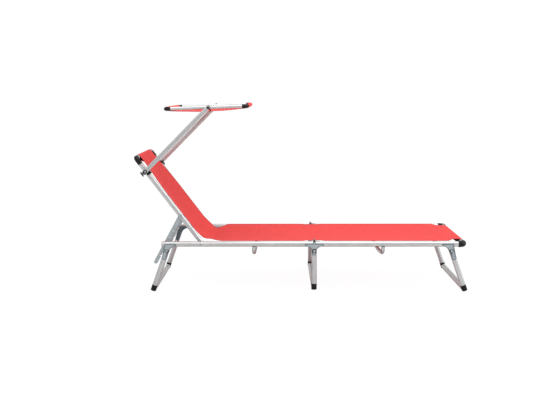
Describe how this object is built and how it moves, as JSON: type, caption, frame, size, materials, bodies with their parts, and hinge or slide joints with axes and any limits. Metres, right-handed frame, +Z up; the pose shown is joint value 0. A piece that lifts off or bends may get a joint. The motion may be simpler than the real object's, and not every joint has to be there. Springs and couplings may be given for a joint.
{
  "type": "folding sun lounger with canopy",
  "caption": "Folding sun lounger on three folding legs, with a reclining backrest on notched struts and a tilting fabric canopy on swinging arms.",
  "frame": {"origin": "on the ground, midway between the head end and the foot end, on the middle plane", "axes": "+X towards the foot end, +Y towards the lounger's left side, +Z up"},
  "size_m": [1.6972, 0.5906, 0.9497],
  "materials": {
    "aluminium_tube": "drawn, natural anodised",
    "zinc_steel": "zinc plated",
    "black_plastic": "fine moulded grain",
    "woven_fabric": "plain weave"
  },
  "bodies": {
    "head_frame": {"head_rail_right": "aluminium_tube", "head_rail_left": "aluminium_tube", "mid_bracket_right": "zinc_steel", "mid_bracket_left": "zinc_steel", "head_leg_bracket_right": "zinc_steel", "head_leg_bracket_left": "zinc_steel", "backrest_pivot_bolt_right": "zinc_steel", "backrest_pivot_bolt_left": "zinc_steel", "seat_bow_head": "aluminium_tube", "seat_sling": "woven_fabric"},
    "foot_frame": {"foot_rail_right": "aluminium_tube", "foot_rail_left": "aluminium_tube", "foot_corner_elbow_right": "black_plastic", "foot_corner_elbow_left": "black_plastic", "foot_end_bar": "aluminium_tube", "foot_leg_bracket_right": "zinc_steel", "foot_leg_bracket_left": "zinc_steel", "seat_bow_foot": "aluminium_tube", "foot_sling": "woven_fabric"},
    "head_leg": {"head_leg_tube_right": "aluminium_tube", "head_leg_tube_left": "aluminium_tube", "head_leg_foot_right": "black_plastic", "head_leg_foot_left": "black_plastic", "head_leg_crossbar": "aluminium_tube"},
    "mid_leg": {"mid_leg_tube_right": "aluminium_tube", "mid_leg_tube_left": "aluminium_tube", "mid_leg_foot_right": "black_plastic", "mid_leg_foot_left": "black_plastic", "mid_leg_crossbar": "aluminium_tube"},
    "foot_leg": {"foot_leg_tube_right": "aluminium_tube", "foot_leg_tube_left": "aluminium_tube", "foot_leg_foot_right": "black_plastic", "foot_leg_foot_left": "black_plastic", "foot_leg_crossbar": "aluminium_tube"},
    "backrest": {"backrest_tube_right": "aluminium_tube", "backrest_tube_left": "aluminium_tube", "backrest_elbow_right": "black_plastic", "backrest_elbow_left": "black_plastic", "backrest_top_bar": "aluminium_tube", "canopy_clamp_right": "black_plastic", "canopy_clamp_left": "black_plastic", "backrest_sling": "woven_fabric"},
    "strut_right": {"support_strut_right": "zinc_steel"},
    "strut_left": {"support_strut_left": "zinc_steel"},
    "knob_right": {"clamp_knob_right": "black_plastic"},
    "knob_left": {"clamp_knob_left": "black_plastic"},
    "canopy_arms": {"canopy_arm_right": "aluminium_tube", "canopy_arm_left": "aluminium_tube"},
    "canopy": {"canopy_side_tube_right": "aluminium_tube", "canopy_side_tube_left": "aluminium_tube", "canopy_elbow_rear_right": "black_plastic", "canopy_elbow_rear_left": "black_plastic", "canopy_elbow_front_right": "black_plastic", "canopy_elbow_front_left": "black_plastic", "canopy_rear_tube": "aluminium_tube", "canopy_front_tube": "aluminium_tube", "canopy_fabric": "woven_fabric"},
    "lever_right": {"canopy_lever_right": "black_plastic"},
    "lever_left": {"canopy_lever_left": "black_plastic"}
  },
  "joints": [
    {"name": "frame_fold", "type": "hinge", "parent": "head_frame", "child": "foot_frame", "pos_m": [0.0659, 0, 0.2625], "axis": [0, -1, 0], "range_deg": [0, 105]},
    {"name": "head_leg_fold", "type": "hinge", "parent": "head_frame", "child": "head_leg", "pos_m": [-0.68392, 0, 0.211], "axis": [0, -1, 0], "range_deg": [0, 109]},
    {"name": "mid_leg_fold", "type": "hinge", "parent": "head_frame", "child": "mid_leg", "pos_m": [0.0659, 0, 0.211], "axis": [0, 1, 0], "range_deg": [0, 90]},
    {"name": "foot_leg_fold", "type": "hinge", "parent": "foot_frame", "child": "foot_leg", "pos_m": [0.76071, 0, 0.211], "axis": [0, 1, 0], "range_deg": [0, 109]},
    {"name": "backrest_recline", "type": "hinge", "parent": "head_frame", "child": "backrest", "pos_m": [-0.5081, 0, 0.244], "axis": [0, -1, 0], "range_deg": [-30, 53]},
    {"name": "canopy_arm_swing", "type": "hinge", "parent": "backrest", "child": "canopy_arms", "pos_m": [-0.78614, 0, 0.61297], "axis": [0, -1, 0], "range_deg": [-35, 80]},
    {"name": "canopy_tilt", "type": "hinge", "parent": "canopy_arms", "child": "canopy", "pos_m": [-0.46582, 0, 0.93329], "axis": [0, -1, 0], "range_deg": [-40, 40]},
    {"name": "strut_swing_right", "type": "hinge", "parent": "backrest", "child": "strut_right", "pos_m": [-0.61462, 0, 0.38536], "axis": [0, -1, 0], "range_deg": [-70, 40]},
    {"name": "clamp_knob_turn_right", "type": "hinge", "parent": "backrest", "child": "knob_right", "pos_m": [-0.78614, -0.2433, 0.61297], "axis": [-0.7986, 0, -0.6018], "range_deg": [0, 180]},
    {"name": "canopy_lever_turn_right", "type": "hinge", "parent": "canopy_arms", "child": "lever_right", "pos_m": [-0.46582, 0, 0.93329], "axis": [0, -1, 0], "range_deg": [0, 120]},
    {"name": "strut_swing_left", "type": "hinge", "parent": "backrest", "child": "strut_left", "pos_m": [-0.61462, 0, 0.38536], "axis": [0, -1, 0], "range_deg": [-70, 40]},
    {"name": "clamp_knob_turn_left", "type": "hinge", "parent": "backrest", "child": "knob_left", "pos_m": [-0.78614, 0.2433, 0.61297], "axis": [-0.7986, 0, -0.6018], "range_deg": [0, 180]},
    {"name": "canopy_lever_turn_left", "type": "hinge", "parent": "canopy_arms", "child": "lever_left", "pos_m": [-0.46582, 0, 0.93329], "axis": [0, 1, 0], "range_deg": [0, 120]}
  ],
  "couplings": [
    {"joint": "strut_swing_right", "follows": "backrest_recline", "ratio": -1.32},
    {"joint": "strut_swing_left", "follows": "backrest_recline", "ratio": -1.32}
  ]
}
